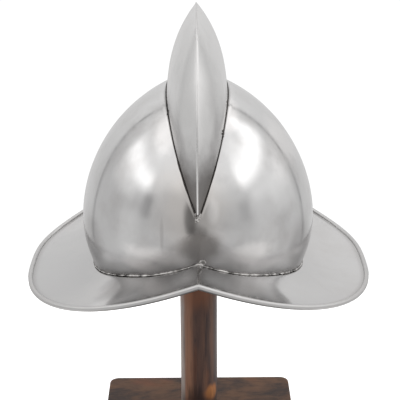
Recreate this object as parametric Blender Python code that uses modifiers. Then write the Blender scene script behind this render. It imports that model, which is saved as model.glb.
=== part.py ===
import bpy
import bmesh
import math
from mathutils import Matrix, Vector

# Metres, +Z up, the front faces -Y. The origin is the middle of the base's underside.
# Levels of the helmet are counted from its datum, which lies inside the skull.
DATUM = 0.256

# Steel sheet and fits
SHEET = 0.0012
SEAT_GAP = 0.0003
ROOT_GAP = 0.00035
SLOT_GAP = 0.0005
SLOT_LEAN = 0.65

# Skull: the half width and the half length by level
SKULL_HALF_WIDTH = 0.1057
WIDEST_LEVEL = -0.0119
CROWN_RISE = 0.1237
CROWN_POWER = 1.87
TUCK_DEPTH = 0.099
SKULL_HALF_LENGTH = 0.124
LONGEST_LEVEL = 0.015
KEEL_RISE = 0.1092
KEEL_POWER = 1.8
KEEL_TUCK = 0.150

# Joint line of skull and brim
SEAM_SIDE_LEVEL = -0.0538
SEAM_RISE = 0.0332
SEAM_POWER = 1.87
SEAM_PEAK = 0.0098
SEAM_PEAK_HALF_WIDTH = 0.051
SKULL_LAP = 0.004

# Comb: an arc seen from the side, and its half width by depth under the crest
CREST_RADIUS = 0.1262
CREST_CENTRE_LEVEL = 0.0548
COMB_HALF_WIDTH = 0.0274
COMB_DEPTH = 0.1024
COMB_SKIRT = 0.005
NOSE_HALF_WIDTH = 0.0027
NOSE_GAP = 0.0005

# Brim: its outer edge in plan and in level
BRIM_HALF_WIDTH = 0.1546
BRIM_HALF_LENGTH = 0.190
BRIM_PLAN_POWER = 2.65
BRIM_SIDE_LEVEL = -0.0619
BRIM_POINT_RISE = 0.0613
BRIM_RISE_POWER = 3.78
BRIM_SAG = 0.004
RIM_RADIUS = 0.0023
POINT_CROWDING = 1.4

# Stand
BASE_SIDE = 0.188
BASE_THICKNESS = 0.020
BASE_CORNER_RADIUS = 0.009
POST_DIAMETER = 0.035
WOOD_EDGE_RADIUS = 0.0012

# Mesh density
COLUMNS = 48
SKULL_ROWS = 12
COMB_COLUMNS = 40
COMB_ROWS = 6
SKIRT_ROWS = 1
BRIM_ROWS = 4
RIM_SIDES = 8
CORNER_SEGMENTS = 5
EASED_SEGMENTS = 2
POST_SIDES = 48
WELD_DISTANCE = 0.00001

# Searches: the rounds of each, and the leans between which the comb's nose is looked for
HALVINGS = 40
SETTLING_ROUNDS = 30
LEAST_NOSE_LEAN = math.radians(60)
MOST_NOSE_LEAN = math.radians(100)
SHARP_ANGLE = math.radians(40)


def clear_scene():
    for old in list(bpy.data.objects):
        bpy.data.objects.remove(old)


def bisect(rule, low, high):
    """The level between low and high where the rule turns from negative to positive."""
    for _ in range(HALVINGS):
        middle = (low + high) / 2
        if rule(middle) > 0:
            high = middle
        else:
            low = middle
    return (low + high) / 2


def crown(rise, height, power):
    return max(0.0, 1 - (rise / height) ** power) ** (1 / power)


def half_width(level):
    rise = level - WIDEST_LEVEL
    if rise > 0:
        return SKULL_HALF_WIDTH * crown(rise, CROWN_RISE, CROWN_POWER)
    return SKULL_HALF_WIDTH * math.sqrt(1 - (rise / TUCK_DEPTH) ** 2)


def half_length(level):
    rise = level - LONGEST_LEVEL
    if rise > 0:
        return SKULL_HALF_LENGTH * crown(rise, KEEL_RISE, KEEL_POWER)
    return SKULL_HALF_LENGTH * math.sqrt(1 - (rise / KEEL_TUCK) ** 2)


def skull_point(turn, level, out=0.0):
    """A point of the skull at this plan angle and level, moved straight out by this much."""
    wide = half_width(level)
    long = half_length(level)
    point = Vector((wide * math.cos(turn), long * math.sin(turn), level))
    away = Vector((long * math.cos(turn), wide * math.sin(turn), 0)).normalized()
    return point + away * out


def seam_level(turn):
    level = SEAM_SIDE_LEVEL
    for _ in range(SETTLING_ROUNDS):
        point = skull_point(turn, level)
        near_point = max(0.0, 1 - point.x / SEAM_PEAK_HALF_WIDTH)
        rise = SEAM_RISE * abs(point.y / SKULL_HALF_LENGTH) ** SEAM_POWER
        wanted = SEAM_SIDE_LEVEL + rise + SEAM_PEAK * near_point**2
        level = (level + wanted) / 2
    return level


def comb_half_width(depth):
    return COMB_HALF_WIDTH * (1 - (1 - depth / COMB_DEPTH) ** 3)


def crest_depth(y, level):
    return CREST_RADIUS - math.hypot(y, level - CREST_CENTRE_LEVEL)


def comb_place(lean, depth):
    """The y and the level at this angle from the top of the arc and this depth under the crest."""
    reach = CREST_RADIUS - depth
    return reach * math.sin(lean), CREST_CENTRE_LEVEL + reach * math.cos(lean)


def joint_depth(lean):
    """How deep under the crest the comb's side meets the skull."""

    def inside(depth):
        y, level = comb_place(lean, depth)
        if level >= WIDEST_LEVEL + CROWN_RISE or level >= LONGEST_LEVEL + KEEL_RISE:
            return -1.0
        share = abs(y) / half_length(level)
        if share >= 1:
            return -1.0
        return half_width(level) * math.sqrt(1 - share**2) - comb_half_width(depth)

    return bisect(inside, 0.0, COMB_DEPTH)


def nose_lean():
    """The angle at which the comb has narrowed to its nose."""

    def narrow(lean):
        return NOSE_HALF_WIDTH - comb_half_width(joint_depth(lean))

    return bisect(narrow, LEAST_NOSE_LEAN, MOST_NOSE_LEAN)


def slot_level(turn, floor):
    """The level of the skull's opening at this plan angle, clear of the comb's side."""
    clearance = SLOT_GAP + SHEET * SLOT_LEAN * math.cos(turn)

    def under_comb(level):
        point = skull_point(turn, level)
        return comb_half_width(crest_depth(point.y, level)) + clearance - point.x

    top = min(WIDEST_LEVEL + CROWN_RISE, LONGEST_LEVEL + KEEL_RISE)
    return max(floor, bisect(under_comb, LONGEST_LEVEL, top))


def plan_turn(share):
    """Plan angles from the front point to the rear point, close together near both."""
    return math.pi / 2 * math.sin(math.pi / 2 * (2 * share - 1))


def brim_edge(turn):
    """The point of the outer edge that the section at this plan angle reaches."""
    part = abs(turn) / (math.pi / 2)
    along = math.copysign(1 - (1 - part) ** POINT_CROWDING, turn)
    x = BRIM_HALF_WIDTH * (1 - abs(along) ** BRIM_PLAN_POWER)
    level = BRIM_SIDE_LEVEL + BRIM_POINT_RISE * abs(along) ** BRIM_RISE_POWER
    return Vector((x, BRIM_HALF_LENGTH * along, level))


def brim_section(turn):
    """One closed section: over the top from the root to the rolled rim, round it and back below."""
    seam = seam_level(turn)
    root = skull_point(turn, seam, ROOT_GAP)
    edge = brim_edge(turn)
    outward = (edge - root).normalized()
    up = (Vector((0, 0, 1)) - outward * outward.z).normalized()
    half = SHEET / 2
    reach = (edge - root).length
    neck = 1 - math.sqrt(RIM_RADIUS**2 - half**2) / reach
    top = []
    bottom = []
    for row in range(BRIM_ROWS + 1):
        share = neck * row / BRIM_ROWS
        sag = BRIM_SAG * 4 * share * (1 - share)
        middle = root + outward * (share * reach) - up * sag
        top.append(middle + up * half)
        bottom.append(middle - up * half)
    top[0] = skull_point(turn, top[0].z, ROOT_GAP)
    bottom[0] = skull_point(turn, bottom[0].z, ROOT_GAP)
    start = math.asin(half / RIM_RADIUS)
    rim = []
    for side in range(1, RIM_SIDES):
        angle = math.pi - start - side * (2 * math.pi - 2 * start) / RIM_SIDES
        rim.append(edge + (outward * math.cos(angle) + up * math.sin(angle)) * RIM_RADIUS)
    return top + rim + bottom[::-1]


def plain_material(name, shade, roughness, metallic):
    material = bpy.data.materials.new(name)
    material.use_nodes = True
    shader = material.node_tree.nodes["Principled BSDF"]
    shader.inputs["Base Color"].default_value = (*shade, 1)
    shader.inputs["Metallic"].default_value = metallic
    shader.inputs["Roughness"].default_value = roughness
    return material


def add_object(name, bm, material, collection):
    bmesh.ops.recalc_face_normals(bm, faces=bm.faces)
    mesh = bpy.data.meshes.new(name)
    bm.to_mesh(mesh)
    bm.free()
    mesh.materials.append(material)
    mesh.shade_smooth()
    obj = bpy.data.objects.new(name, mesh)
    collection.objects.link(obj)
    return obj


def shaped_grid(columns, rows, place):
    """A grid whose points go where place(column share, row) puts them, outer face first."""
    bm = bmesh.new()
    bmesh.ops.create_grid(bm, x_segments=columns, y_segments=rows, size=1)
    for vert in bm.verts:
        vert.co = place((vert.co.x + 1) / 2, round((vert.co.y + 1) / 2 * rows))
    return bm


def mirror_over_middle(obj):
    mirror = obj.modifiers.new("other half", "MIRROR")
    mirror.use_axis = (True, False, False)
    mirror.merge_threshold = WELD_DISTANCE


def give_sheet(obj):
    """Thickens the outer face inwards."""
    solidify = obj.modifiers.new("sheet", "SOLIDIFY")
    solidify.thickness = SHEET
    solidify.offset = -1
    solidify.use_even_offset = True


def turn_outward(obj):
    """Makes the faces of an open half look away from the middle of the helmet."""
    mesh = obj.data
    middle = Vector((0, 0, DATUM))
    if sum((face.center - middle).dot(face.normal) * face.area for face in mesh.polygons) < 0:
        mesh.flip_normals()


def make_skull(material, collection):
    floor = comb_place(nose_lean(), 0.0)[1] - NOSE_GAP

    def place(share, row):
        turn = plan_turn(share)
        low = seam_level(turn) - SKULL_LAP
        high = slot_level(turn, floor)
        point = skull_point(turn, low + (high - low) * row / SKULL_ROWS)
        if share in (0, 1):
            point.x = 0.0
        return point + Vector((0, 0, DATUM))

    obj = add_object("skull", shaped_grid(COLUMNS, SKULL_ROWS, place), material, collection)
    turn_outward(obj)
    mirror_over_middle(obj)
    give_sheet(obj)


def make_comb(material, collection):
    last = nose_lean()
    rows = COMB_ROWS + SKIRT_ROWS

    def place(share, row):
        lean = last * (2 * share - 1)
        joint = joint_depth(lean)
        depth = joint * min(1, row / COMB_ROWS)
        x = comb_half_width(depth)
        if row > COMB_ROWS:
            depth = joint + COMB_SKIRT * (row - COMB_ROWS) / SKIRT_ROWS
        y, level = comb_place(lean, depth)
        return Vector((x, y, level + DATUM))

    obj = add_object("comb", shaped_grid(COMB_COLUMNS, rows, place), material, collection)
    turn_outward(obj)
    mirror_over_middle(obj)
    give_sheet(obj)


def make_brim(material, collection):
    bm = bmesh.new()
    loops = []
    for column in range(COLUMNS + 1):
        section = brim_section(plan_turn(column / COLUMNS))
        if column in (0, COLUMNS):
            for point in section:
                point.x = 0.0
        loops.append([bm.verts.new(point + Vector((0, 0, DATUM))) for point in section])
    count = len(loops[0])
    for first, second in zip(loops, loops[1:]):
        for i in range(count):
            after = (i + 1) % count
            bm.faces.new((first[i], first[after], second[after], second[i]))
    obj = add_object("brim", bm, material, collection)
    mirror_over_middle(obj)


def ease_edges(obj):
    bevel = obj.modifiers.new("eased edges", "BEVEL")
    bevel.width = WOOD_EDGE_RADIUS
    bevel.segments = EASED_SEGMENTS
    bevel.limit_method = "ANGLE"
    bevel.angle_limit = SHARP_ANGLE


def make_base(material, collection):
    bm = bmesh.new()
    size = (BASE_SIDE, BASE_SIDE, BASE_THICKNESS)
    bmesh.ops.create_cube(bm, size=1, matrix=Matrix.Diagonal((*size, 1)))
    upright = [edge for edge in bm.edges if edge.calc_length() < BASE_SIDE / 2]
    bmesh.ops.bevel(
        bm, geom=upright, offset=BASE_CORNER_RADIUS, segments=CORNER_SEGMENTS, profile=0.5, affect="EDGES"
    )
    obj = add_object("stand_base", bm, material, collection)
    obj.location.z = BASE_THICKNESS / 2
    ease_edges(obj)


def post_top():
    """The level at which the comb's inner faces are as far apart as the post is wide."""

    def too_narrow(level):
        depth = crest_depth(0.0, level)
        slope = (comb_half_width(depth + SHEET) - comb_half_width(depth)) / SHEET
        wall = (SHEET + SEAT_GAP) * math.hypot(1, slope)
        return POST_DIAMETER / 2 + wall - comb_half_width(depth)

    return bisect(too_narrow, LONGEST_LEVEL, CREST_CENTRE_LEVEL + CREST_RADIUS)


def make_post(material, collection):
    foot = BASE_THICKNESS + SEAT_GAP
    height = DATUM + post_top() - foot
    radius = POST_DIAMETER / 2
    bm = bmesh.new()
    bmesh.ops.create_cone(
        bm, cap_ends=True, segments=POST_SIDES, radius1=radius, radius2=radius, depth=height
    )
    obj = add_object("stand_post", bm, material, collection)
    obj.data.set_sharp_from_angle(angle=SHARP_ANGLE)
    obj.location.z = foot + height / 2
    ease_edges(obj)


clear_scene()
helmet = bpy.data.collections.new("morion on stand")
bpy.context.scene.collection.children.link(helmet)

make_skull(plain_material("skull steel", (0.62, 0.61, 0.60), 0.24, 1), helmet)
make_comb(plain_material("comb steel", (0.66, 0.65, 0.64), 0.28, 1), helmet)
make_brim(plain_material("brim steel", (0.62, 0.61, 0.60), 0.26, 1), helmet)

make_base(plain_material("base wood", (0.10, 0.055, 0.035), 0.5, 0), helmet)
make_post(plain_material("post wood", (0.12, 0.06, 0.038), 0.5, 0), helmet)
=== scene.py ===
import math
import bpy
import bmesh
from mathutils import Matrix, Vector, noise


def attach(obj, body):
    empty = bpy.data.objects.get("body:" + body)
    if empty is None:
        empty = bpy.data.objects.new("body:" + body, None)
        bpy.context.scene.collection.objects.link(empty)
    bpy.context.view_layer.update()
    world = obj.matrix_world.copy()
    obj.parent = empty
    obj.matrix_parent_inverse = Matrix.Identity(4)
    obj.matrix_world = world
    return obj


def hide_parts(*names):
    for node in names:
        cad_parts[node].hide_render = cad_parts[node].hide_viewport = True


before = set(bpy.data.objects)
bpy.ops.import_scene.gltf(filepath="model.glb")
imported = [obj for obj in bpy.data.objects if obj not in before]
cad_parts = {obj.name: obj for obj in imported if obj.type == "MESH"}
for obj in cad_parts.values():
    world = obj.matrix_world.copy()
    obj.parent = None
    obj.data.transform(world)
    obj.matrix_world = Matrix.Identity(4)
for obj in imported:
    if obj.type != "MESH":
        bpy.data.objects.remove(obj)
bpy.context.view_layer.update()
print("frame loaded:", ", ".join(sorted(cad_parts)))

quarter = math.pi / 2
scene = bpy.context.scene


# node helpers

def newNode(tree, kind, **settings):
    node = tree.nodes.new(kind)
    for key, value in settings.items():
        setattr(node, key, value)
    return node


def plug(tree, socket, value):  # a socket is linked, anything else becomes the socket's own value
    if isinstance(value, bpy.types.NodeSocket):
        tree.links.new(value, socket)
    elif value is not None:
        socket.default_value = value


def calc(tree, operation, a, b=None):
    node = newNode(tree, "ShaderNodeMath", operation=operation)
    for socket, value in zip(node.inputs, (a, b)):
        plug(tree, socket, value)
    return node.outputs[0]


def plus(tree, a, b):
    return calc(tree, "ADD", a, b)


def minus(tree, a, b):
    return calc(tree, "SUBTRACT", a, b)


def times(tree, a, b):
    return calc(tree, "MULTIPLY", a, b)


def swing(tree, value, amount):  # noise from 0 to 1 turned into half the amount either way
    return times(tree, minus(tree, value, 0.5), amount)


def ramp(tree, value, low, high, toLow=0.0, toHigh=1.0, smooth=True):
    node = newNode(tree, "ShaderNodeMapRange", interpolation_type="SMOOTHSTEP" if smooth else "LINEAR")
    names = ("Value", "From Min", "From Max", "To Min", "To Max")
    for name, item in zip(names, (value, low, high, toLow, toHigh)):
        plug(tree, node.inputs[name], item)
    return node.outputs["Result"]


def blend(tree, share, first, second):  # colour mix, first where the share is 0
    node = newNode(tree, "ShaderNodeMix", data_type="RGBA")
    plug(tree, node.inputs["Factor"], share)
    for socket, item in ((node.inputs[6], first), (node.inputs[7], second)):
        plug(tree, socket, (*item, 1) if isinstance(item, tuple) else item)
    return node.outputs[2]


def objectPlace(tree):
    return newNode(tree, "ShaderNodeTexCoord").outputs["Object"]


def apart(tree, place):  # x, y and z
    axes = newNode(tree, "ShaderNodeSeparateXYZ")
    plug(tree, axes.inputs[0], place)
    return axes.outputs


def scaledPlace(tree, scale, shift):
    mapping = newNode(tree, "ShaderNodeMapping")
    for name, item in (("Vector", objectPlace(tree)), ("Scale", scale), ("Location", shift)):
        plug(tree, mapping.inputs[name], item)
    return mapping.outputs[0]


def grainNoise(tree, scale, size, detail, roughness, distortion=0.0, shift=(0, 0, 0)):
    node = newNode(tree, "ShaderNodeTexNoise")
    plug(tree, node.inputs["Vector"], scaledPlace(tree, scale, shift))
    names = ("Scale", "Detail", "Roughness", "Distortion")
    for name, item in zip(names, (size, detail, roughness, distortion)):
        node.inputs[name].default_value = item
    return node.outputs[0]


def carried(tree, name):  # a number that the piece carries at each of its points
    return newNode(tree, "ShaderNodeAttribute", attribute_name=name).outputs["Fac"]


spotEdge = {"tatter": 1.2, "full": 0.35, "gone": 1.15}  # as shares of the spot's size


def spotMask(tree, centre, size, ragged):  # 1 inside a soft egg shape, with a ragged edge
    scale = [1 / part for part in size]
    shift = [-middle / part for middle, part in zip(centre, size)]
    length = newNode(tree, "ShaderNodeVectorMath", operation="LENGTH")
    plug(tree, length.inputs[0], scaledPlace(tree, scale, shift))
    away = plus(tree, length.outputs["Value"], swing(tree, ragged, spotEdge["tatter"]))
    return ramp(tree, away, spotEdge["full"], spotEdge["gone"], 1.0, 0.0)


def newMaterial(name):
    material = bpy.data.materials.new(name)
    material.use_nodes = True
    return material, material.node_tree, material.node_tree.nodes["Principled BSDF"]


def addBump(tree, shader, height, strength, depth):
    bump = newNode(tree, "ShaderNodeBump")
    for name, item in (("Height", height), ("Strength", strength), ("Distance", depth)):
        plug(tree, bump.inputs[name], item)
    plug(tree, shader.inputs["Normal"], bump.outputs[0])


# steel

# painted shade with some smoke, and a painted highlight, for the steel's spots and shaded bands
shadeAndSmoke, paintedHighlight = (0.14, 0.128, 0.122), (0.90, 0.88, 0.87)
warm = (0.655, 0.628, 0.604)  # a warmer tone, spread around the comb's nose
# painted shade in the corner where the skull meets the brim, with some tarnish
seamShadeAndTarnish = (0.11, 0.10, 0.095)
# painted shade that darkens the reflections on the brim's left side
brimShadeGrey = (0.50, 0.498, 0.498)

steelFinish = {
    "colour": (0.640, 0.638, 0.637),
    "smoke": (0.560, 0.550, 0.545),  # the faint clouds that polishing leaves
    "smokeEdge": (0.40, 0.75),
    "clouds": 26,
    "smoothest": 0.10,
    "roughest": 0.20,
    "wearEdge": (0.35, 0.65),
    "bands": (130, 130, 9),  # the wear runs up and down, with some clouds in it
    "bandShare": 0.6,
    "lines": (900, 900, 45),  # and so do the fine lines of brushing
    "lineShare": 0.35,
    "lineHeight": 0.05,
    "lineDepth": 0.0004,
    "spots": [],  # painted highlights and painted shade with some smoke, and a warmer tone: centre, size each way, shade, amount
    # painted shade on the undersides of the rods
    "underGrime": 0.0,
    "underEdge": (-0.60, -0.25),  # how far a rod's faces look up
    # painted shade in the groove inside the rolled rim
    "grooveGrime": 0.0,
    "darkSide": 0.0,  # painted shade on the crest's right flank
    "sideEdge": (0.0, 0.0005),
    "jointShade": 0.0,  # painted shade in a band on the comb's plates, beside the skull
    "jointBand": (0.0060, 0.0105),
    "jointRise": (0.320, 0.345),  # the heights where it comes in
    "jointFall": (0.350, 0.380),  # and where it goes
    # painted shade and tarnish where the skull nears the brim
    "seamGrime": 0.0,
    "seamPatches": (0.25, 0.75, 0.75, 1.25),
    "seamSides": (0.005, 0.045, 1.0, 0.65),  # lighter on the right
    "lowDullness": 0.0,  # rougher towards the seam
    "dullest": 0.268,  # but no rougher than this, or the reflections turn grainy
}


def shadeAndGrimeMasks(tree, finish, clouds):  # where each mark of painted shade, painted highlight, smoke and tarnish lies, and its colour
    masks = []
    for centre, size, shade, amount in finish["spots"]:
        masks.append((times(tree, spotMask(tree, centre, size, clouds), amount), shade))
    # painted shade under the rods
    if finish["underGrime"]:
        under = ramp(tree, carried(tree, "upward"), *finish["underEdge"], finish["underGrime"], 0.0)
        masks.append((under, shadeAndSmoke))
    # painted shade in the groove inside the rim
    if finish["grooveGrime"]:
        masks.append((times(tree, carried(tree, "groove"), finish["grooveGrime"]), shadeAndSmoke))
    if finish["darkSide"]:
        x = apart(tree, objectPlace(tree))[0]
        masks.append((ramp(tree, x, *finish["sideEdge"], 0.0, finish["darkSide"]), shadeAndSmoke))
    if finish["jointShade"]:
        z = apart(tree, objectPlace(tree))[2]
        band = ramp(tree, carried(tree, "fromJoint"), *finish["jointBand"], finish["jointShade"], 0.0)
        above, under = ramp(tree, z, *finish["jointRise"]), ramp(tree, z, *finish["jointFall"], 1.0, 0.0)
        masks.append((times(tree, band, times(tree, above, under)), shadeAndSmoke))
    # painted shade and tarnish where the skull nears the brim
    if finish["seamGrime"]:
        x = apart(tree, objectPlace(tree))[0]
        patchy = times(tree, carried(tree, "nearSeam"), ramp(tree, clouds, *finish["seamPatches"]))
        patchy = times(tree, patchy, ramp(tree, x, *finish["seamSides"]))
        masks.append((times(tree, patchy, finish["seamGrime"]), seamShadeAndTarnish))
    return masks


def steelMaterial(name, **changes):
    finish = {**steelFinish, **changes}
    material, tree, shader = newMaterial(name)
    clouds = grainNoise(tree, (1, 1, 1), finish["clouds"], 4, 0.6)
    lines = grainNoise(tree, finish["lines"], 1.0, 3, 0.6)
    bands = grainNoise(tree, finish["bands"], 1.0, 4, 0.6, shift=(3, 1, 0))
    colour = blend(tree, ramp(tree, clouds, *finish["smokeEdge"]), finish["colour"], finish["smoke"])
    for mask, shade in shadeAndGrimeMasks(tree, finish, clouds):
        colour = blend(tree, mask, colour, shade)
    plug(tree, shader.inputs["Base Color"], colour)
    shader.inputs["Metallic"].default_value = 1
    wear = plus(tree, times(tree, bands, finish["bandShare"]), times(tree, clouds, 1 - finish["bandShare"]))
    roughness = ramp(tree, wear, *finish["wearEdge"], finish["smoothest"], finish["roughest"])
    if finish["lowDullness"]:
        roughness = plus(tree, roughness, times(tree, carried(tree, "lowBand"), finish["lowDullness"]))
        roughness = calc(tree, "MINIMUM", roughness, finish["dullest"])
    plug(tree, shader.inputs["Roughness"], roughness)
    height = plus(tree, times(tree, lines, finish["lineShare"]), bands)
    addBump(tree, shader, height, finish["lineHeight"], finish["lineDepth"])
    return material


skullSteel = steelMaterial("polished skull steel", seamGrime=0.62, lowDullness=0.24, spots=[
    # a warmer tone, then painted highlights and painted shade with smoke that stand in for the reflections'
    # light and dark
    ((-0.006, -0.115, 0.288), (0.034, 0.050, 0.048), warm, 0.9),
    ((-0.027, -0.068, 0.343), (0.012, 0.040, 0.018), paintedHighlight, 0.6),
    ((0.027, -0.058, 0.354), (0.010, 0.040, 0.012), paintedHighlight, 0.7),
    ((0.070, -0.030, 0.316), (0.020, 0.050, 0.030), paintedHighlight, 0.5),
    ((-0.095, -0.058, 0.238), (0.016, 0.050, 0.030), shadeAndSmoke, 0.38),
    ((0.088, -0.067, 0.238), (0.014, 0.050, 0.028), shadeAndSmoke, 0.40),
    ((-0.0465, -0.110, 0.238), (0.022, 0.030, 0.008), paintedHighlight, 0.85),
    ((-0.036, -0.114, 0.249), (0.030, 0.030, 0.011), paintedHighlight, 0.85),
    ((0.044, -0.111, 0.249), (0.028, 0.030, 0.013), paintedHighlight, 0.75),
    ((0.002, -0.123, 0.259), (0.020, 0.030, 0.017), shadeAndSmoke, 0.68),
    ((-0.007, -0.122, 0.284), (0.006, 0.030, 0.014), shadeAndSmoke, 0.52),
    ((0.000, -0.124, 0.274), (0.009, 0.030, 0.007), shadeAndSmoke, 0.40),
    ((0.012, -0.121, 0.290), (0.006, 0.030, 0.012), paintedHighlight, 0.5),
    ((-0.030, -0.119, 0.269), (0.0022, 0.030, 0.020), shadeAndSmoke, 0.18),
    ((0.048, -0.106, 0.235), (0.030, 0.030, 0.007), paintedHighlight, 0.4),
])
combSteel = steelMaterial(
    "polished comb steel", colour=(0.745, 0.74, 0.735), smoke=(0.68, 0.675, 0.67),
    smoothest=0.22, roughest=0.268, lineHeight=0.03, jointShade=0.26,
    spots=[
        # painted shade on the comb's plates, darkest low at its front
        ((0.010, -0.105, 0.366), (0.012, 0.050, 0.030), shadeAndSmoke, 0.12),
        ((0, -0.110, 0.299), (0.050, 0.080, 0.048), shadeAndSmoke, 0.84),
    ],
)
crestSteel = steelMaterial(
    "ground crest steel", colour=(0.66, 0.655, 0.65), smoke=(0.60, 0.595, 0.59),
    smoothest=0.2, roughest=0.3, darkSide=0.6,
    # a painted highlight low on the crest's front
    spots=[((0, -0.124, 0.300), (0.03, 0.08, 0.050), (0.96, 0.95, 0.94), 0.9)],
)
brimSteel = steelMaterial(
    "polished brim steel", colour=(0.585, 0.58, 0.578),
    smoothest=0.13, roughest=0.19, lineHeight=0.02, grooveGrime=0.30,
    spots=[
        # painted shade and a painted highlight on the brim's front, painted shade on its left side
        ((-0.064, -0.106, 0.221), (0.030, 0.030, 0.030), shadeAndSmoke, 0.50),
        ((-0.036, -0.135, 0.228), (0.024, 0.030, 0.030), shadeAndSmoke, 0.32),
        ((-0.080, -0.138, 0.211), (0.017, 0.022, 0.030), paintedHighlight, 0.3),
        ((-0.125, -0.030, 0.200), (0.060, 0.120, 0.060), brimShadeGrey, 0.9),
        ((0.046, -0.140, 0.228), (0.028, 0.030, 0.030), shadeAndSmoke, 0.20),
    ],
)
rimSteel = steelMaterial(
    "rolled rim steel", colour=(0.54, 0.535, 0.53),
    smoothest=0.3, roughest=0.4, lineHeight=0.02, underGrime=0.8,
)
# nearly black: it stands in for the shade in the gap beside the comb, and colours the dark specks
jointShadeAndSpeckSteel = steelMaterial(
    "painted joint shade and speck steel", colour=(0.10, 0.09, 0.085), smoke=(0.04, 0.036, 0.034),
    smoothest=0.5, roughest=0.7,
)
insideSteel = steelMaterial(
    "dull inside steel", colour=(0.36, 0.35, 0.34), smoke=(0.22, 0.21, 0.20),
    smoothest=0.34, roughest=0.5,
)
weldSteel = steelMaterial(
    "ground weld steel", colour=(0.66, 0.645, 0.63), smoke=(0.06, 0.05, 0.045),
    smoothest=0.2, roughest=0.38, clouds=170,
)


# skull rules

skullShape = {
    "datum": 0.256,  # heights of the helmet are counted from here
    "sheet": 0.0012,
    "halfWidth": 0.1057, "widestLevel": -0.0119, "crownRise": 0.1237, "crownPower": 1.87, "tuckDepth": 0.099,
    "halfLength": 0.124, "longestLevel": 0.015, "keelRise": 0.1092, "keelPower": 1.8, "keelTuck": 0.150,
    "seamLevel": -0.0538, "seamRise": 0.0332, "seamPower": 1.87,
    "seamPeak": 0.0098, "seamPeakHalfWidth": 0.051,
    "lap": 0.004, "slotGap": 0.0005, "slotLean": 0.65, "noseGap": 0.0005,
    "columns": 170,  # on each side
    "rows": 64,
    "waveHeight": 0.00016,
    "waveLength": 0.055,
    "calmRows": 6,  # no waves where it meets its neighbours
    "seamShadeReach": 0.0065,
    "dullReach": 0.027,
    # dents: across, level, radius, depth
    "dents": [(-0.0065, 0.0035, 0.0075, 0.00028)],
}

combShape = {
    "crestRadius": 0.1262, "crestCentre": 0.0548, "halfWidth": 0.0274, "fullDepth": 0.1024,
    "skirt": 0.005, "noseHalfWidth": 0.0027,
    "columns": 150,
    "rows": 46,
    "crestCrowding": 1.3,
    "skirtRows": 3,
    "blunting": 0.0008,
    "waveHeight": 0.00012,
    "waveLength": 0.045,
}


def searchLevel(rule, low, high):  # where the rule turns from negative to positive
    for _ in range(40):
        middle = (low + high) / 2
        if rule(middle) > 0:
            high = middle
        else:
            low = middle
    return (low + high) / 2


def crown(rise, height, power):
    return max(0.0, 1 - (rise / height) ** power) ** (1 / power)


def skullHalfWidth(level):
    rise = level - skullShape["widestLevel"]
    if rise > 0:
        return skullShape["halfWidth"] * crown(rise, skullShape["crownRise"], skullShape["crownPower"])
    return skullShape["halfWidth"] * math.sqrt(1 - (rise / skullShape["tuckDepth"]) ** 2)


def skullHalfLength(level):
    rise = level - skullShape["longestLevel"]
    if rise > 0:
        return skullShape["halfLength"] * crown(rise, skullShape["keelRise"], skullShape["keelPower"])
    return skullShape["halfLength"] * math.sqrt(1 - (rise / skullShape["keelTuck"]) ** 2)


skullTop = min(
    skullShape["widestLevel"] + skullShape["crownRise"],
    skullShape["longestLevel"] + skullShape["keelRise"],
)


def skullPoint(turn, level, out=0.0):
    wide, long = skullHalfWidth(level), skullHalfLength(level)
    away = Vector((long * math.cos(turn), wide * math.sin(turn), 0)).normalized()
    return Vector((wide * math.cos(turn), long * math.sin(turn), level)) + away * out


def seamLevel(turn):
    level = skullShape["seamLevel"]
    for _ in range(30):
        point = skullPoint(turn, level)
        near = max(0.0, 1 - abs(point.x) / skullShape["seamPeakHalfWidth"])
        rise = skullShape["seamRise"] * abs(point.y / skullShape["halfLength"]) ** skullShape["seamPower"]
        level = (level + skullShape["seamLevel"] + rise + skullShape["seamPeak"] * near**2) / 2
    return level


def combHalfWidth(depth):
    return combShape["halfWidth"] * (1 - (1 - depth / combShape["fullDepth"]) ** 3)


def combPlace(lean, depth):
    reach = combShape["crestRadius"] - depth
    return reach * math.sin(lean), combShape["crestCentre"] + reach * math.cos(lean)


def jointDepth(lean):  # how deep under the crest the comb's side meets the skull
    def inside(depth):
        y, level = combPlace(lean, depth)
        if level >= skullTop or abs(y) >= skullHalfLength(level):
            return -1.0
        return skullHalfWidth(level) * math.sqrt(1 - (y / skullHalfLength(level)) ** 2) - combHalfWidth(depth)

    return searchLevel(inside, 0.0, combShape["fullDepth"])


noseLean = searchLevel(
    lambda lean: combShape["noseHalfWidth"] - combHalfWidth(jointDepth(lean)),
    math.radians(60),
    math.radians(100),
)
noseFloor = combPlace(noseLean, 0.0)[1] - skullShape["noseGap"]


def slotLevel(turn):  # the level of the skull's opening, clear of the comb's side
    clearance = skullShape["slotGap"] + skullShape["sheet"] * skullShape["slotLean"] * abs(math.cos(turn))

    def underComb(level):
        point = skullPoint(turn, level)
        depth = combShape["crestRadius"] - math.hypot(point.y, level - combShape["crestCentre"])
        return combHalfWidth(depth) + clearance - abs(point.x)

    return max(noseFloor, searchLevel(underComb, skullShape["longestLevel"], skullTop))


def planTurn(share):  # from the front point to the rear point, close together near both
    return quarter * math.sin(quarter * (2 * share - 1))


def ringTurns(columns):  # all the way round, starting at the front point
    half = [planTurn(column / columns) for column in range(columns)]
    return half + [math.pi + turn for turn in half]


# length and height are shares of the slow wave's
quickWave = {"length": 0.4, "height": 0.35, "shift": Vector((7, 3, 1))}


def wave(point, length, height):
    slow = noise.noise(point / length)
    quick = noise.noise(point / (quickWave["length"] * length) + quickWave["shift"])
    return height * (slow + quickWave["height"] * quick)


def finishPiece(obj, node=None):
    if obj.name not in scene.collection.all_objects:
        scene.collection.objects.link(obj)
    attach(obj, "root")
    if node:
        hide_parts(node)
    print("piece", obj.name)


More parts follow.
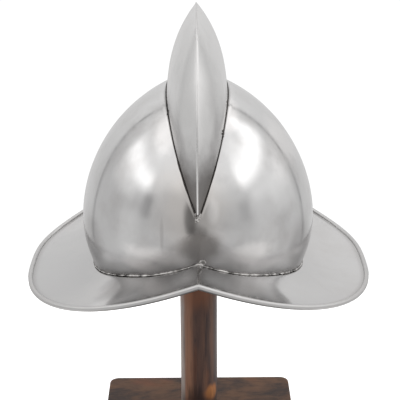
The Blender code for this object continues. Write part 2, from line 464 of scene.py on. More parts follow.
def meshObject(name, bm, materials, smooth=True):
    mesh = bpy.data.meshes.new(name)
    bm.to_mesh(mesh)
    bm.free()
    for material in materials:
        mesh.materials.append(material)
    if smooth:
        mesh.shade_smooth()
    return bpy.data.objects.new(name, mesh)


def closedLoft(rings, wrapSection):  # rings of points, joined in a circle
    bm = bmesh.new()
    made = [[bm.verts.new(point) for point in ring] for ring in rings]
    count = len(made[0])
    for first, second in zip(made, made[1:] + made[:1]):
        for i in range(count if wrapSection else count - 1):
            after = (i + 1) % count
            corners = (first[i], second[i], second[after], first[after])
            bm.faces.new(corners[::-1] if wrapSection else corners)  # outwards either way
    return bm


lift = Vector((0, 0, skullShape["datum"]))


def skullRing(turn):
    low, high = seamLevel(turn) - skullShape["lap"], slotLevel(turn)
    rows, calm = skullShape["rows"], skullShape["calmRows"]
    ring = []
    for row in range(rows + 1):
        level = low + (high - low) * row / rows
        point = skullPoint(turn, level)
        away = (skullPoint(turn, level, 1) - point).normalized()
        move = wave(point, skullShape["waveLength"], skullShape["waveHeight"])
        for across, dentLevel, radius, depth in skullShape["dents"]:
            if point.y < 0:
                near = ((point.x - across) ** 2 + (level - dentLevel) ** 2) / radius**2
                move -= depth * math.exp(-near)
        edge = min(1, row / calm, (rows - row) / calm)
        ring.append(point + away * (move - skullShape["waveHeight"]) * edge + lift)
    return ring


skullTurns = ringTurns(skullShape["columns"])
skullRings = [skullRing(turn) for turn in skullTurns]
skullBowl = meshObject("skullBowl", closedLoft(skullRings, False), [skullSteel, insideSteel])
nearSeam = skullBowl.data.attributes.new("nearSeam", "FLOAT", "POINT")
lowBand = skullBowl.data.attributes.new("lowBand", "FLOAT", "POINT")
for column, turn in enumerate(skullTurns):
    seam = seamLevel(turn) + skullShape["datum"]
    for row in range(skullShape["rows"] + 1):
        index = column * (skullShape["rows"] + 1) + row
        above = max(0.0, skullBowl.data.vertices[index].co.z - seam)
        nearSeam.data[index].value = math.exp(-((above / skullShape["seamShadeReach"]) ** 2))
        lowBand.data[index].value = math.exp(-((above / skullShape["dullReach"]) ** 4))
sheet = skullBowl.modifiers.new("sheet", "SOLIDIFY")
sheet.thickness = skullShape["sheet"]
sheet.offset = -1
sheet.use_even_offset = True
sheet.material_offset = 1
finishPiece(skullBowl, "skull")


# geometry node helpers

def newTree(name, inputs):  # inputs: name to (socket type, value)
    tree = bpy.data.node_groups.new(name, "GeometryNodeTree")
    face = tree.interface
    face.new_socket("Geometry", in_out="INPUT", socket_type="NodeSocketGeometry")
    face.new_socket("Geometry", in_out="OUTPUT", socket_type="NodeSocketGeometry")
    for key, (kind, value) in inputs.items():
        socket = face.new_socket(key, in_out="INPUT", socket_type=kind)
        if value is not None:
            socket.default_value = value
    start, end = newNode(tree, "NodeGroupInput"), newNode(tree, "NodeGroupOutput")
    return tree, start.outputs, end.inputs[0]


def endTree(tree, geometry, material, end):  # smooth, real geometry with its material
    smooth = newNode(tree, "GeometryNodeSetShadeSmooth")
    real = newNode(tree, "GeometryNodeRealizeInstances")
    finish = newNode(tree, "GeometryNodeSetMaterial")
    plug(tree, smooth.inputs[0], geometry)
    plug(tree, real.inputs[0], smooth.outputs[0])
    plug(tree, finish.inputs["Geometry"], real.outputs[0])
    plug(tree, finish.inputs["Material"], material)
    plug(tree, end, finish.outputs[0])


def keep(tree, geometry, name, value):  # the material reads it from the finished piece
    node = newNode(tree, "GeometryNodeStoreNamedAttribute", data_type="FLOAT", domain="POINT")
    for key, item in (("Geometry", geometry), ("Name", name), ("Value", value)):
        plug(tree, node.inputs[key], item)
    return node.outputs[0]


def attribute(tree, name):
    node = newNode(tree, "GeometryNodeInputNamedAttribute", data_type="FLOAT")
    node.inputs["Name"].default_value = name
    return node.outputs["Attribute"]


def runTree(name, base, tree, values):  # the evaluated result becomes a plain mesh object
    scene.collection.objects.link(base)
    modifier = base.modifiers.new(tree.name, "NODES")
    modifier.node_group = tree
    for item in tree.interface.items_tree:
        if item.in_out == "INPUT" and item.name in values:
            modifier[item.identifier] = values[item.name]
    bpy.context.view_layer.update()
    mesh = bpy.data.meshes.new_from_object(base.evaluated_get(bpy.context.evaluated_depsgraph_get()))
    base.modifiers.remove(modifier)
    bpy.data.objects.remove(base)
    mesh.name = name
    return bpy.data.objects.new(name, mesh)


number, whole, paint = "NodeSocketFloat", "NodeSocketInt", "NodeSocketMaterial"


# comb: a sheet folded over the crest, shaped by its rule

def combSide(tree, given, depth):  # the comb's half width at a depth under its crest
    left = minus(tree, 1.0, calc(tree, "DIVIDE", depth, given["Full depth"]))
    return times(tree, given["Half width"], minus(tree, 1.0, calc(tree, "POWER", left, 3.0)))


def combTree():
    tree, given, end = newTree("comb plates", {
        "Crest radius": (number, 0.1), "Crest centre": (number, 0.0), "Half width": (number, 0.03),
        "Full depth": (number, 0.1), "Skirt": (number, 0.005), "Blunting": (number, 0.0005),
        "Wave height": (number, 0.0), "Wave length": (number, 0.05), "Material": (paint, None),
    })
    lean, share, joint = [attribute(tree, name) for name in ("lean", "share", "joint")]
    size, side = calc(tree, "ABSOLUTE", share), calc(tree, "SIGN", share)
    onWall = calc(tree, "MINIMUM", size, 1.0)
    wall = times(tree, joint, onWall)
    below = times(tree, given["Skirt"], calc(tree, "MAXIMUM", minus(tree, size, 1.0), 0.0))
    squares = [calc(tree, "POWER", length, 2.0) for length in (wall, given["Blunting"])]
    depth = plus(tree, calc(tree, "SQRT", plus(tree, *squares)), below)
    halfWidth = combSide(tree, given, wall)
    fromJoint = minus(tree, combSide(tree, given, joint), halfWidth)
    reach = minus(tree, given["Crest radius"], depth)
    x, y = times(tree, halfWidth, side), times(tree, reach, calc(tree, "SINE", lean))
    z = plus(tree, times(tree, reach, calc(tree, "COSINE", lean)), given["Crest centre"])
    place = newNode(tree, "ShaderNodeCombineXYZ")
    for socket, value in zip(place.inputs, (x, y, z)):
        plug(tree, socket, value)
    shaped = newNode(tree, "GeometryNodeSetPosition")
    plug(tree, shaped.inputs["Geometry"], given["Geometry"])
    plug(tree, shaped.inputs["Position"], place.outputs[0])
    # slow waves along the plate, none at the crest and the joint
    texture = newNode(tree, "ShaderNodeTexNoise")
    texture.inputs["Detail"].default_value = 1.0
    plug(tree, texture.inputs["Scale"], calc(tree, "DIVIDE", 1.0, given["Wave length"]))
    calm = times(tree, times(tree, size, minus(tree, 1.0, onWall)), 4.0)
    amount = times(tree, minus(tree, texture.outputs[0], 0.75), given["Wave height"])
    amount = times(tree, amount, times(tree, calm, side))
    push = newNode(tree, "ShaderNodeCombineXYZ")
    plug(tree, push.inputs[0], amount)
    waved = newNode(tree, "GeometryNodeSetPosition")
    plug(tree, waved.inputs["Geometry"], shaped.outputs[0])
    plug(tree, waved.inputs["Offset"], push.outputs[0])
    endTree(tree, keep(tree, waved.outputs[0], "fromJoint", fromJoint), given["Material"], end)
    return tree


def combGrid():
    columns, rows, skirtRows = combShape["columns"], combShape["rows"], combShape["skirtRows"]
    side = [(row / rows) ** combShape["crestCrowding"] for row in range(1, rows + 1)]
    side += [1 + row / skirtRows for row in range(1, skirtRows + 1)]
    shares = [-share for share in side[::-1]] + [0.0] + side
    leans = [noseLean * math.sin(quarter * (2 * column / columns - 1)) for column in range(columns + 1)]
    bm = bmesh.new()
    layers = {name: bm.verts.layers.float.new(name) for name in ("lean", "share", "joint")}
    grid = []
    for lean in leans:
        joint = jointDepth(lean)
        line = []
        for share in shares:
            vert = bm.verts.new((share, lean, 0))
            vert[layers["lean"]] = lean
            vert[layers["share"]] = share
            vert[layers["joint"]] = joint
            line.append(vert)
        grid.append(line)
    for first, second in zip(grid, grid[1:]):
        for i in range(len(shares) - 1):
            bm.faces.new((first[i], first[i + 1], second[i + 1], second[i]))
    return meshObject("combBase", bm, [])


combPlates = runTree("combPlates", combGrid(), combTree(), {
    "Crest radius": combShape["crestRadius"],
    "Crest centre": combShape["crestCentre"] + skullShape["datum"],
    "Half width": combShape["halfWidth"],
    "Full depth": combShape["fullDepth"],
    "Skirt": combShape["skirt"],
    "Blunting": combShape["blunting"],
    "Wave height": combShape["waveHeight"],
    "Wave length": combShape["waveLength"],
    "Material": combSteel,
})
combPlates.data.materials.append(insideSteel)
sheet = combPlates.modifiers.new("sheet", "SOLIDIFY")
sheet.thickness = skullShape["sheet"]
sheet.offset = -1
sheet.material_offset = 1
finishPiece(combPlates, "comb")


# brim

brimShape = {
    "halfWidth": 0.1546, "halfLength": 0.190, "planPower": 2.65,
    "sideLevel": -0.0619, "pointRise": 0.0613, "risePower": 3.78, "sag": 0.004, "pointCrowding": 1.4,
    "rootGap": 0.00035,
    "columns": 240,
    "rows": 34,
    "rimCrowding": 1.4,
    "waveHeight": 0.00005,
    "waveLength": 0.06,
    "calmShare": 1 / 8,
    "grooveDepth": 0.00035,
    "grooveWidth": 0.0028,
    "rimRadius": 0.0023,
    "rimSides": 14,
    "rimColumns": 220,
    "rimSpacing": 0.0012,
}


def brimEdge(turn):
    part = abs(turn) / quarter
    along = math.copysign(1 - (1 - part) ** brimShape["pointCrowding"], turn)
    x = brimShape["halfWidth"] * (1 - abs(along) ** brimShape["planPower"])
    level = brimShape["sideLevel"] + brimShape["pointRise"] * abs(along) ** brimShape["risePower"]
    return Vector((x, brimShape["halfLength"] * along, level))


def folded(turn):  # which side, and the same turn on the right side
    return (1, turn) if turn < quarter else (-1, math.pi - turn)


def grooveShare(fromRim):  # 1 in the middle of the groove inside the rim
    return math.exp(-((fromRim / brimShape["grooveWidth"]) ** 2))


def brimRing(turn):
    side, turn = folded(turn)
    root, edge = skullPoint(turn, seamLevel(turn), brimShape["rootGap"]), brimEdge(turn)
    outward = (edge - root).normalized()
    up = (Vector((0, 0, 1)) - outward * outward.z).normalized()
    reach, half, rows = (edge - root).length, skullShape["sheet"] / 2, brimShape["rows"]
    top, bottom = [], []
    for row in range(rows + 1):
        share = 1 - (1 - row / rows) ** brimShape["rimCrowding"]
        fromRim = (1 - share) * reach - brimShape["rimRadius"]
        groove = brimShape["grooveDepth"] * grooveShare(fromRim) if fromRim > 0 else 0
        sag = brimShape["sag"] * 4 * share * (1 - share)
        middle = root + outward * (share * reach) - up * (sag + groove)
        calm = min(1, share / brimShape["calmShare"], (1 - share) / brimShape["calmShare"])
        middle += up * wave(middle * side, brimShape["waveLength"], brimShape["waveHeight"]) * calm
        top.append(middle + up * half)
        bottom.append(middle - up * half)
    top[0] = skullPoint(turn, top[0].z, brimShape["rootGap"])
    bottom[0] = skullPoint(turn, bottom[0].z, brimShape["rootGap"])
    ring = top + bottom[::-1]
    for point in ring:
        point.x = 0.0 if abs(turn) > quarter - 1e-9 else point.x * side
    return [point + lift for point in ring]


brimRings = [brimRing(turn) for turn in ringTurns(brimShape["columns"])]
brimPlate = meshObject("brimPlate", closedLoft(brimRings, True), [brimSteel])
rimLine = brimPlate.data.attributes.new("groove", "FLOAT", "POINT")
for column, ring in enumerate(brimRings):
    for row in range(brimShape["rows"] + 1):
        fromRim = (ring[row] - ring[brimShape["rows"]]).length - brimShape["rimRadius"]
        rimLine.data[column * len(ring) + row].value = grooveShare(fromRim)
finishPiece(brimPlate, "brim")


def loopCurve(name, points, cyclic):  # bare points and edges, for a tree to work on
    bm = bmesh.new()
    verts = [bm.verts.new(point) for point in points]
    for first, second in zip(verts, verts[1:] + (verts[:1] if cyclic else [])):
        bm.edges.new((first, second))
    mesh = bpy.data.meshes.new(name)
    bm.to_mesh(mesh)
    bm.free()
    return bpy.data.objects.new(name, mesh)


rodLimits = {"thinnest": 0.05, "thickest": 1.35}  # as shares of the radius


def sweepTree():  # a round rod along a path, its thickness wandering if asked
    tree, given, end = newTree("rod along a path", {
        "Radius": (number, 0.001), "Sides": (whole, 12), "Spacing": (number, 0.001),
        "Unevenness": (number, 0.0), "Grain": (number, 200.0), "Seed": (number, 1.0),
        "Material": (paint, None),
    })
    path = newNode(tree, "GeometryNodeMeshToCurve")
    plug(tree, path.inputs[0], given["Geometry"])
    even = newNode(tree, "GeometryNodeResampleCurve", mode="LENGTH")
    plug(tree, even.inputs["Curve"], path.outputs[0])
    plug(tree, even.inputs["Length"], given["Spacing"])
    texture = newNode(tree, "ShaderNodeTexNoise", noise_dimensions="4D")
    plug(tree, texture.inputs["Scale"], given["Grain"])
    plug(tree, texture.inputs["W"], given["Seed"])
    thick = plus(tree, 1.0, swing(tree, texture.outputs[0], given["Unevenness"]))
    thick = calc(tree, "MAXIMUM", thick, rodLimits["thinnest"])
    thick = calc(tree, "MINIMUM", thick, rodLimits["thickest"])
    ring = newNode(tree, "GeometryNodeCurvePrimitiveCircle", mode="RADIUS")
    plug(tree, ring.inputs["Resolution"], given["Sides"])
    plug(tree, ring.inputs["Radius"], given["Radius"])
    rod = newNode(tree, "GeometryNodeCurveToMesh")
    plug(tree, rod.inputs["Curve"], even.outputs[0])
    plug(tree, rod.inputs["Profile Curve"], ring.outputs[0])
    plug(tree, rod.inputs["Scale"], thick)
    rod.inputs["Fill Caps"].default_value = True
    upward = apart(tree, newNode(tree, "GeometryNodeInputNormal").outputs[0])[2]
    endTree(tree, keep(tree, rod.outputs[0], "upward", upward), given["Material"], end)
    return tree


rodTree = sweepTree()


def makeRod(name, path, cyclic, slotName, **values):  # a piece of its own
    named = {key.capitalize(): value for key, value in values.items()}
    rod = runTree(name, loopCurve(name + "Path", path, cyclic), rodTree, named)
    finishPiece(rod, None)


rimPath = []
for turn in ringTurns(brimShape["rimColumns"]):
    side, near = folded(turn)
    edge = brimEdge(near)
    rimPath.append(Vector((edge.x * side, edge.y, edge.z)) + lift)
makeRod(
    "rolledRim", rimPath, True, "brim_steel", material=rimSteel,
    radius=brimShape["rimRadius"], sides=brimShape["rimSides"], spacing=brimShape["rimSpacing"],
)


# welds

weldSizes = {
    "crestSteps": 160,
    "crestRadius": 0.0008,
    "crestShift": -0.0003,
    "crestSink": 1.35,  # times its radius
    "jointSteps": 180,
    "jointRadius": {-1: 0.0007, 1: 0.0005},  # the line of painted shade is wider on the left
    "jointLift": 0.0003,
    "jointSink": 0.0019,
    "jointSinkPower": 5,
    "seamColumns": 200,
    "seamRadius": 0.00075,
    "seamLift": 0.0009,
    "seamOut": 0.0006,
    "seamUnevenness": 6.5,
    "creaseRadius": 0.0007,
    "creaseDrop": 0.0002,
    "seed": 4.0,
}

crestPath, steps = [], weldSizes["crestSteps"]
for i in range(steps + 1):
    sink = weldSizes["crestSink"] * weldSizes["crestRadius"]
    y, level = combPlace(noseLean * (2 * i / steps - 1), sink)
    crestPath.append(Vector((weldSizes["crestShift"], y, level)) + lift)
makeRod(
    "crestWeld", crestPath, False, "comb_steel", material=crestSteel, seed=weldSizes["seed"],
    radius=weldSizes["crestRadius"], sides=12, spacing=0.0015, unevenness=0.3, grain=90.0,
)

# dark rods along both sides of the comb: painted shade in the gap where it meets the skull
for side, name in ((-1, "jointLineLeft"), (1, "jointLineRight")):
    jointPath, steps = [], weldSizes["jointSteps"]
    for i in range(steps + 1):
        lean = noseLean * math.sin(quarter * (2 * i / steps - 1))
        buried = 1 - abs(lean / noseLean) ** weldSizes["jointSinkPower"]  # plain only near the nose
        depth = jointDepth(lean) - weldSizes["jointLift"] + weldSizes["jointSink"] * buried
        y, level = combPlace(lean, depth)
        jointPath.append(Vector((side * (combHalfWidth(depth) + weldSizes["jointLift"]), y, level)) + lift)
    makeRod(
        name, jointPath, False, "comb_steel", material=jointShadeAndSpeckSteel, seed=weldSizes["seed"] + side,
        radius=weldSizes["jointRadius"][side], sides=8, spacing=0.0012, unevenness=2.2, grain=60.0,
    )

seamPath = []
for turn in ringTurns(weldSizes["seamColumns"]):
    seamPath.append(skullPoint(turn, seamLevel(turn) + weldSizes["seamLift"], weldSizes["seamOut"]) + lift)
makeRod(
    "seamWeld", seamPath, True, "brim_steel", material=weldSteel, seed=weldSizes["seed"],
    radius=weldSizes["seamRadius"], sides=8, spacing=0.0012,
    unevenness=weldSizes["seamUnevenness"], grain=120.0,
)

for name, front in (("creaseWeldFront", True), ("creaseWeldRear", False)):
    ring = brimRings[0] if front else brimRings[brimShape["columns"]]
    path = [point - Vector((0, 0, weldSizes["creaseDrop"])) for point in ring[: brimShape["rows"] - 1]]
    makeRod(
        name, path, False, "brim_steel", material=weldSteel, seed=weldSizes["seed"] + front,
        radius=weldSizes["creaseRadius"], sides=8, spacing=0.001, unevenness=1.0, grain=160.0,
    )


def beadTree():  # small lumps of weld, one at each point
    tree, given, end = newTree("weld beads", {
        "Bead radius": (number, 0.0008), "Stretch": (number, 0.5), "Seed": (whole, 3),
        "Material": (paint, None),
    })
    points = newNode(tree, "GeometryNodeMeshToPoints")
    plug(tree, points.inputs[0], given["Geometry"])
    bead = newNode(tree, "GeometryNodeMeshUVSphere")
    for name, item in (("Segments", 8), ("Rings", 5), ("Radius", given["Bead radius"])):
        plug(tree, bead.inputs[name], item)
    spin = newNode(tree, "FunctionNodeRandomValue", data_type="FLOAT_VECTOR")
    spin.inputs["Max"].default_value = (6.28, 6.28, 6.28)
    plug(tree, spin.inputs["Seed"], given["Seed"])
    size = newNode(tree, "FunctionNodeRandomValue", data_type="FLOAT_VECTOR")
    low, high = newNode(tree, "ShaderNodeCombineXYZ"), newNode(tree, "ShaderNodeCombineXYZ")
    for socket in low.inputs:
        plug(tree, socket, minus(tree, 1.0, given["Stretch"]))
    for socket in high.inputs:
        plug(tree, socket, plus(tree, 1.0, given["Stretch"]))
    for name, item in (("Min", low.outputs[0]), ("Max", high.outputs[0]), ("Seed", given["Seed"])):
        plug(tree, size.inputs[name], item)
    copies = newNode(tree, "GeometryNodeInstanceOnPoints")
    for name, node in (("Points", points), ("Instance", bead), ("Rotation", spin), ("Scale", size)):
        plug(tree, copies.inputs[name], node.outputs[0])
    endTree(tree, copies.outputs[0], given["Material"], end)
    return tree


def frontPoint(x, level, side=-1, out=0.0):  # a point on the skull's front (side -1) or rear
    turn = math.copysign(math.acos(max(-1, min(1, x / skullHalfWidth(level)))), side)
    return skullPoint(turn, level, out) + lift


beadSizes = {
    "radius": 0.0009,
    "noseCount": 34, "noseTop": 0.0065, "noseDrop": 0.0125, "noseSpread": 0.0030, "noseOut": 0.0004,
    "ringCount": 12, "ringAcross": 0.0035, "ringLevel": -0.0095,
    "ringHalfWidth": 0.0021, "ringHalfHeight": 0.0019,
    "pits": [(-49.7, -1), (-38.7, 1), (-65.5, 1), (-67.0, 1)],  # lean in degrees, side
    "pitLift": 0.0014,
}

beadPoints = []
for side in (-1, 1):
    for i in range(beadSizes["noseCount"]):  # the blob at the comb's nose
        share = i / (beadSizes["noseCount"] - 1)
        x = beadSizes["noseSpread"] * noise.noise(Vector((i * 1.7, side * 3.1, 0.2))) * (1 + share)
        level = noseFloor + beadSizes["noseTop"] - beadSizes["noseDrop"] * share
        beadPoints.append(frontPoint(x, level, side, beadSizes["noseOut"]))
for i in range(beadSizes["ringCount"]):  # the little round weld over the brim's front crease
    angle = math.tau * i / beadSizes["ringCount"]
    x = beadSizes["ringAcross"] + beadSizes["ringHalfWidth"] * math.cos(angle)
    level = beadSizes["ringLevel"] + beadSizes["ringHalfHeight"] * math.sin(angle)
    beadPoints.append(frontPoint(x, level))
pitPoints = []
for lean, side in beadSizes["pits"]:  # dark specks by the comb's joint
    depth = jointDepth(math.radians(lean)) - beadSizes["pitLift"]
    y, level = combPlace(math.radians(lean), depth)
    pitPoints.append(Vector((side * combHalfWidth(depth), y, level)) + lift)
lumps = beadTree()
for name, points, stretch, seed, material, slotName in (
    ("jointPits", pitPoints, 0.3, 8, jointShadeAndSpeckSteel, "comb_steel"),
    ("weldBeads", beadPoints, 0.45, 3, weldSteel, "skull_steel"),
):
    beads = runTree(name, loopCurve(name + "Points", points, False), lumps, {
        "Bead radius": beadSizes["radius"], "Stretch": stretch, "Seed": seed, "Material": material,
    })
    finishPiece(beads, None)


# wood

woodFinish = {
    "figureEdge": (0.36, 0.64),
    "redEdge": (0.52, 0.72),
    "poreEdge": (0.50, 0.72),
    "poreAmount": 0.55,
    "wearEdge": (0.3, 0.7),
    "bumpStrength": 0.35,
    "bumpDepth": 0.0006,
    "stripes": [],  # upright, on the front only, some of them painted sheen: across, half width, colour, amount
    "stripeWobble": 0.006,
    "stripeCore": 0.3,  # as a share of the half width
    "frontEdge": (0.0, 0.005),
    "patches": [],  # centre, radius, colour, amount
    "patchTatter": 1.4,
    "patchCore": 0.4,
}


def stripeMasks(tree, finish, ragged):
    axes = apart(tree, objectPlace(tree))
    front = ramp(tree, axes[1], *finish["frontEdge"], 1.0, 0.0)
    x = plus(tree, axes[0], swing(tree, ragged, finish["stripeWobble"]))
    masks = []
    for across, halfWidth, shade, amount in finish["stripes"]:
        away = calc(tree, "ABSOLUTE", minus(tree, x, across))
        stripe = ramp(tree, away, halfWidth * finish["stripeCore"], halfWidth, amount, 0.0)
        masks.append((times(tree, stripe, front), shade))
    return masks


def patchMasks(tree, finish, ragged):
    masks = []
    for centre, radius, shade, amount in finish["patches"]:
        gap = newNode(tree, "ShaderNodeVectorMath", operation="DISTANCE")
        plug(tree, gap.inputs[0], objectPlace(tree))
        plug(tree, gap.inputs[1], centre)
        away = plus(tree, gap.outputs["Value"], swing(tree, ragged, radius * finish["patchTatter"]))
        patch = ramp(tree, away, radius * finish["patchCore"], radius, 1.0, 0.0)
        masks.append((times(tree, patch, amount), shade))
    return masks


def woodMaterial(name, changes):
    finish = {**woodFinish, **changes}
    material, tree, shader = newMaterial(name)
    broad = grainNoise(tree, finish["broad"], 1.0, 5, 0.6, 0.4)
    fine = grainNoise(tree, finish["fine"], 1.0, 4, 0.65, 0.2)
    red = grainNoise(tree, finish["red"], 1.0, 3, 0.55, shift=(4, 2, 9))
    reddened = times(tree, ramp(tree, red, *finish["redEdge"]), finish["redness"])
    pores = times(tree, ramp(tree, fine, *finish["poreEdge"]), finish["poreAmount"])
    masks = [(reddened, finish["reddish"]), *stripeMasks(tree, finish, broad)]
    masks += [(pores, finish["pore"]), *patchMasks(tree, finish, broad)]
    colour = blend(tree, ramp(tree, broad, *finish["figureEdge"]), finish["dark"], finish["light"])
    for mask, shade in masks:
        colour = blend(tree, mask, colour, shade)
    plug(tree, shader.inputs["Base Color"], colour)
    roughness = ramp(tree, broad, *finish["wearEdge"], finish["smoothest"], finish["roughest"])
    plug(tree, shader.inputs["Roughness"], roughness)
    shader.inputs["Specular IOR Level"].default_value = finish["gloss"]
    addBump(tree, shader, fine, finish["bumpStrength"], finish["bumpDepth"])
    return material


postWood = {
    "broad": (130, 130, 11), "fine": (300, 300, 14), "red": (160, 160, 14),
    "dark": (0.052, 0.032, 0.030), "light": (0.165, 0.088, 0.060),
    "reddish": (0.20, 0.075, 0.035), "pore": (0.030, 0.018, 0.016),
    "redness": 0.55, "smoothest": 0.42, "roughest": 0.55, "gloss": 0.25,
    "stripes": [
        # a painted sheen along the post's left edge
        (-0.0168, 0.0055, (0.37, 0.31, 0.28), 0.85),
        (-0.0095, 0.0050, (0.30, 0.145, 0.085), 0.75),
        (0.0010, 0.0060, (0.060, 0.036, 0.034), 0.5),
        (0.0170, 0.0040, (0.070, 0.048, 0.042), 0.85),
    ],
    "patches": [
        ((0.0115, -0.0132, 0.062), 0.011, (0.50, 0.20, 0.065), 0.9),
        ((-0.0020, -0.0170, 0.046), 0.028, (0.030, 0.017, 0.014), 0.75),
        ((-0.0020, -0.0170, 0.180), 0.035, (0.25, 0.095, 0.045), 0.6),
    ],
}
baseWood = {
    "broad": (22, 34, 30), "fine": (60, 300, 300), "red": (20, 30, 26),
    "dark": (0.038, 0.020, 0.015), "light": (0.160, 0.084, 0.049),
    "reddish": (0.21, 0.075, 0.038), "pore": (0.032, 0.019, 0.015),
    "redness": 0.5, "smoothest": 0.42, "roughest": 0.6, "gloss": 0.22,
}
standWood = {
    "stand_post": ("stained post wood", postWood),
    "stand_base": ("stained base wood", baseWood),
}
for nodeName, (title, settings) in standWood.items():
    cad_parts[nodeName].material_slots[0].material = woodMaterial(title, settings)
    print("wood on", nodeName)


# floor, light and camera

floorSize = {
    "halfWidth": 0.30, "front": -0.12, "back": 0.40, "level": -0.0002,
    "shade": (0.86, 0.86, 0.86), "roughness": 0.9, "glow": 0.62,
}


def makeFloor():
    bm = bmesh.new()
    corners = [(-1, "front"), (1, "front"), (1, "back"), (-1, "back")]
    verts = []
    for side, end in corners:
        verts.append(bm.verts.new((side * floorSize["halfWidth"], floorSize[end], floorSize["level"])))
    bm.faces.new(verts)
    material, _, shader = newMaterial("pale floor")
    shader.inputs["Base Color"].default_value = (*floorSize["shade"], 1)
    shader.inputs["Roughness"].default_value = floorSize["roughness"]
    shader.inputs["Emission Color"].default_value = (1, 1, 1, 1)
    shader.inputs["Emission Strength"].default_value = floorSize["glow"]
    floor = meshObject("floor", bm, [material], False)
    scene.collection.objects.link(floor)


makeFloor()

# directions are degrees: azimuth from the camera's side, to the right, and elevation
studio = {
    "rise": [  # elevation, brightness
        (-75, 0.22), (-55, 0.32), (-42, 0.76), (-22, 0.69), (-8, 0.63), (5, 0.65),
        (15, 0.71), (25, 0.84), (33, 0.98), (45, 1.08), (60, 1.15),
    ],
    "wall": [(-30, 0.70), (0, 0.75), (12, 0.84), (25, 0.97), (40, 1.06)],
    "wallAway": (180.0, -10.0, 46.0),  # azimuth, elevation, radius
    "wallBlur": 0.5,
    "ringWidth": 2.4,
    "ringCore": 0.2,  # as shares of its width
    "ringEnd": 0.8,
    "ringShade": 0.32,
    "behind": 1.05,  # the white that the camera sees behind the piece
    "tint": (1.0, 0.995, 0.994),
    # azimuth, elevation, half width, half height, soft edge, brightness, amount
    "patches": [
        (-22, 21, 24, 9, 14, 0.66, 0.8),
        (-118, -12, 12, 20, 14, 0.67, 0.9),
        (118, -16, 11, 12, 14, 0.73, 0.9),
        (108, 1, 18, 7, 10, 0.88, 0.8),
        (98, 13, 28, 8, 14, 1.08, 0.9),
        (-103, 15, 18, 5, 12, 1.02, 0.9),
        (-96, 27, 27, 6, 12, 1.7, 1.0),
        (-95, 45, 20, 5, 10, 1.25, 0.8),
        (84, 46, 16, 6, 12, 1.35, 0.9),
        (98, 33, 36, 8, 13, 1.8, 1.0),
        (-64, 9, 6, 10, 9, 0.44, 1.0),
        (57, 5, 6, 9, 9, 0.53, 0.9),
        (-82, -20, 12, 22, 14, 0.79, 0.9),
        (80, -14, 14, 26, 14, 0.80, 0.9),
        (3, -2, 13, 24, 14, 0.46, 0.9),
        (-7, 4, 7, 22, 10, 0.30, 0.9),
    ],
}


def shadeOf(brightness):
    return tuple(brightness * part for part in studio["tint"])


def rising(tree, elevation, rows):  # brightness by elevation, straight between the rows
    colour = blend(tree, 0.0, shadeOf(rows[0][1]), shadeOf(rows[0][1]))
    for (start, _), (stop, brightness) in zip(rows, rows[1:]):
        share = ramp(tree, elevation, float(start), float(stop), smooth=False)
        colour = blend(tree, share, colour, shadeOf(brightness))
    return colour


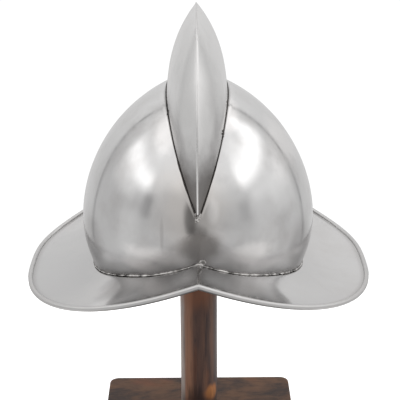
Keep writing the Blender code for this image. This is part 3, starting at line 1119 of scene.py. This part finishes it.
def makeStudio():
    world = bpy.data.worlds.new("white studio")
    scene.world = world
    world.use_nodes = True
    tree = world.node_tree
    tree.nodes.clear()
    direction = newNode(tree, "ShaderNodeTexCoord").outputs["Generated"]
    x, y, z = apart(tree, direction)
    azimuth = calc(tree, "DEGREES", calc(tree, "ARCTAN2", x, times(tree, y, -1.0)))
    elevation = calc(tree, "DEGREES", calc(tree, "ARCSINE", z))
    colour = rising(tree, elevation, studio["rise"])

    wallAzimuth, wallElevation, radius = studio["wallAway"]
    flat = math.cos(math.radians(wallElevation))
    straight = (
        math.sin(math.radians(wallAzimuth)) * flat,
        -math.cos(math.radians(wallAzimuth)) * flat,
        math.sin(math.radians(wallElevation)),
    )
    dot = newNode(tree, "ShaderNodeVectorMath", operation="DOT_PRODUCT")
    plug(tree, dot.inputs[0], direction)
    plug(tree, dot.inputs[1], straight)
    cosine = calc(tree, "MINIMUM", dot.outputs["Value"], 0.999999)
    away = calc(tree, "DEGREES", calc(tree, "ARCCOSINE", cosine))
    width = studio["ringWidth"]
    fromRing = calc(tree, "ABSOLUTE", minus(tree, away, radius + width / 2))
    onRing = ramp(tree, fromRing, width * studio["ringCore"], width * studio["ringEnd"], 1.0, 0.0)

    for az, el, wide, high, edge, brightness, amount in studio["patches"]:
        turnOff = calc(tree, "ABSOLUTE", minus(tree, azimuth, float(az)))
        riseOff = calc(tree, "ABSOLUTE", minus(tree, elevation, float(el)))
        across = ramp(tree, turnOff, wide - edge / 2, wide + edge / 2, 1.0, 0.0)
        upright = ramp(tree, riseOff, high - edge / 2, high + edge / 2, 1.0, 0.0)
        mask = times(tree, times(tree, across, upright), amount)
        colour = blend(tree, mask, colour, shadeOf(brightness))
    wall = rising(tree, elevation, studio["wall"])
    onWall = ramp(tree, away, radius - studio["wallBlur"], radius + studio["wallBlur"], 1.0, 0.0)
    colour = blend(tree, onWall, colour, wall)
    colour = blend(tree, onRing, colour, shadeOf(studio["ringShade"]))

    seen, lit = newNode(tree, "ShaderNodeBackground"), newNode(tree, "ShaderNodeBackground")
    seen.inputs["Color"].default_value = (1, 1, 1, 1)
    seen.inputs["Strength"].default_value = studio["behind"]
    plug(tree, lit.inputs["Color"], colour)
    path = newNode(tree, "ShaderNodeLightPath")
    choice = newNode(tree, "ShaderNodeMixShader")
    plug(tree, choice.inputs[0], path.outputs["Is Camera Ray"])
    plug(tree, choice.inputs[1], lit.outputs[0])
    plug(tree, choice.inputs[2], seen.outputs[0])
    end = newNode(tree, "ShaderNodeOutputWorld")
    plug(tree, end.inputs[0], choice.outputs[0])


makeStudio()
scene.view_settings.view_transform = "Standard"

cameraPlace = {
    "aim": 0.256, "away": 1.104, "down": 20.56, "roll": -0.416,
    "lens": 108.0, "sensor": 36.0, "shift": 0.00525,
}


def makeCamera():
    data = bpy.data.cameras.new("camera")
    data.lens = cameraPlace["lens"]
    data.sensor_width = cameraPlace["sensor"]
    data.shift_x = cameraPlace["shift"]
    camera = bpy.data.objects.new("camera", data)
    scene.collection.objects.link(camera)
    down, roll = math.radians(cameraPlace["down"]), math.radians(cameraPlace["roll"])
    away = cameraPlace["away"]
    turned = Matrix.Rotation(quarter - down, 4, "X") @ Matrix.Rotation(roll, 4, "Z")
    spot = Vector((0, -away * math.cos(down), cameraPlace["aim"] + away * math.sin(down)))
    camera.matrix_world = Matrix.Translation(spot) @ turned
    scene.camera = camera


makeCamera()
bpy.context.view_layer.update()
